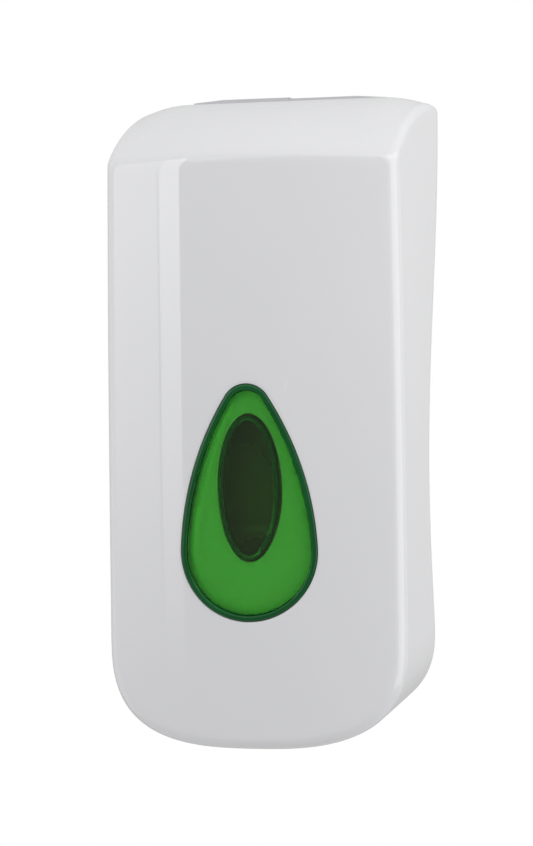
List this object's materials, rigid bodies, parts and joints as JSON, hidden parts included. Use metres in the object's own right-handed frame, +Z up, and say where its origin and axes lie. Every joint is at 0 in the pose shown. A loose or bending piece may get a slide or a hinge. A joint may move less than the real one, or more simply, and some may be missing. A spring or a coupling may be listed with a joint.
{
  "type": "wall mounted soap dispenser",
  "caption": "Wall mounted liquid soap dispenser: rounded white push cover with a green teardrop window, hinged at the top over a reservoir and a plunger pump",
  "frame": {"origin": "centre of the rectangle of four wall screw holes, on the wall face of the backplate", "axes": "+Z up, +Y into the wall, -Y out of the front, +X to the viewer's right when facing the front"},
  "size_m": [0.134, 0.1126, 0.29],
  "materials": {
    "cover_white": "smooth glossy moulded ABS",
    "window_green": "clear tinted moulded plastic",
    "grey_plastic": "fine textured moulded ABS",
    "pump_white": "moulded acetal",
    "plunger_green": "moulded acetal",
    "tank_natural": "translucent blow moulded polypropylene",
    "cap_grey": "moulded polypropylene",
    "rubber_dark": "soft moulded rubber",
    "silicone_clear": "soft silicone",
    "steel": "stainless steel"
  },
  "bodies": {
    "wall_unit": {"backplate": "grey_plastic", "hinge_rod": "steel", "rod_clips": "steel", "reservoir": "tank_natural", "neck_collar": "cap_grey", "neck_gasket": "rubber_dark", "pump_body": "pump_white", "pump_screws": "steel", "inlet_valve": "silicone_clear", "pump_end_cap": "cap_grey", "rod_wiper": "rubber_dark", "pump_spring": "steel", "outlet_valve": "silicone_clear", "nozzle": "pump_white", "nozzle_oring": "rubber_dark"},
    "filler": {"fill_cap": "cap_grey", "cap_gasket": "rubber_dark"},
    "piston": {"plunger": "plunger_green", "plunger_seal": "rubber_dark"},
    "press": {"push_frame": "grey_plastic", "press_pad": "rubber_dark", "cover_bumpers": "rubber_dark"},
    "lid": {"cover": "cover_white", "window_lens": "window_green"},
    "lock": {"lock_slider": "cap_grey"}
  },
  "joints": [
    {"name": "push", "type": "hinge", "parent": "wall_unit", "child": "press", "pos_m": [0, -0.016, 0.132], "axis": [1, 0, 0], "range_deg": [0, 2.5], "stiffness_Nm_per_rad": 25, "springref_deg": -2.29},
    {"name": "cover_open", "type": "hinge", "parent": "press", "child": "lid", "pos_m": [0, -0.016, 0.132], "axis": [-1, 0, 0], "range_deg": [0, 105]},
    {"name": "plunger_slide", "type": "slide", "parent": "wall_unit", "child": "piston", "axis": [0, 1, 0], "range_m": [0, 0.0106], "deforming": ["pump_spring"]},
    {"name": "cap_turn", "type": "hinge", "parent": "wall_unit", "child": "filler", "pos_m": [0, -0.048, 0.107], "axis": [0, 0, 1], "range_deg": [0, 90]},
    {"name": "lock_slide", "type": "slide", "parent": "lid", "child": "lock", "axis": [-1, 0, 0], "range_m": [0, 0.006]}
  ],
  "couplings": [
    {"joint": "plunger_slide", "follows": "push", "m_per_rad": 0.241}
  ]
}
